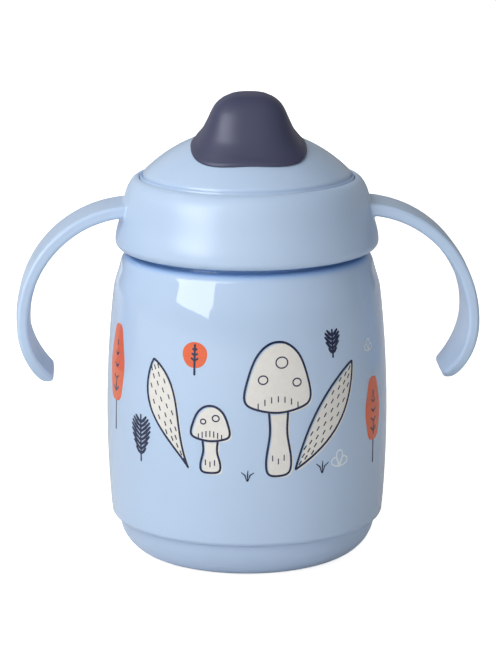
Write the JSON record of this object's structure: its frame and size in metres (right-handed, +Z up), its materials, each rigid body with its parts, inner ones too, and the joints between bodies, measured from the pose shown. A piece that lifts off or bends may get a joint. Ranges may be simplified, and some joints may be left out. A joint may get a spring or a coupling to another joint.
{
  "type": "sippy cup",
  "caption": "Trainer cup with a soft spout, a domed screw lid with hook handles on both sides, and a barrel-shaped printed cup on a stepped foot.",
  "frame": {"origin": "middle of the resting face, under the cup's axis", "axes": "+Z up along the cup's axis, handles along +X and -X, printed front and spout offset towards -Y"},
  "size_m": [0.131, 0.08, 0.1336],
  "materials": {
    "cup_plastic": "glossy moulded polypropylene, satin foot",
    "printed_film": "glossy printed in-mould film",
    "collar_plastic": "satin moulded polypropylene",
    "dome_plastic": "satin moulded polypropylene",
    "spout_silicone": "soft matt silicone",
    "clear_silicone": "frosted silicone",
    "valve_plastic": "satin moulded plastic"
  },
  "bodies": {
    "cup": {"cup": "cup_plastic", "printed_wrap": "printed_film"},
    "lid": {"lid_dome": "dome_plastic", "spout": "spout_silicone", "lid_seal": "clear_silicone", "air_vent_valve": "clear_silicone"},
    "collar": {"handle_collar": "collar_plastic"},
    "valve": {"valve_housing": "valve_plastic", "valve_membrane": "clear_silicone", "valve_retainer": "valve_plastic"}
  },
  "joints": [
    {"name": "lid_rise", "type": "slide", "parent": "cup", "child": "lid", "axis": [0, 0, 1], "range_m": [0, 0.0151]},
    {"name": "collar_turn", "type": "hinge", "parent": "lid", "child": "collar", "pos_m": [0, 0, 0.1], "axis": [0, 0, 1], "range_deg": [0, 450]},
    {"name": "valve_pull", "type": "slide", "parent": "lid", "child": "valve", "axis": [0, 0.1822, -0.9833], "range_m": [0, 0.012]}
  ],
  "couplings": [
    {"joint": "lid_rise", "follows": "collar_turn", "m_per_rad": 0.0019099}
  ]
}
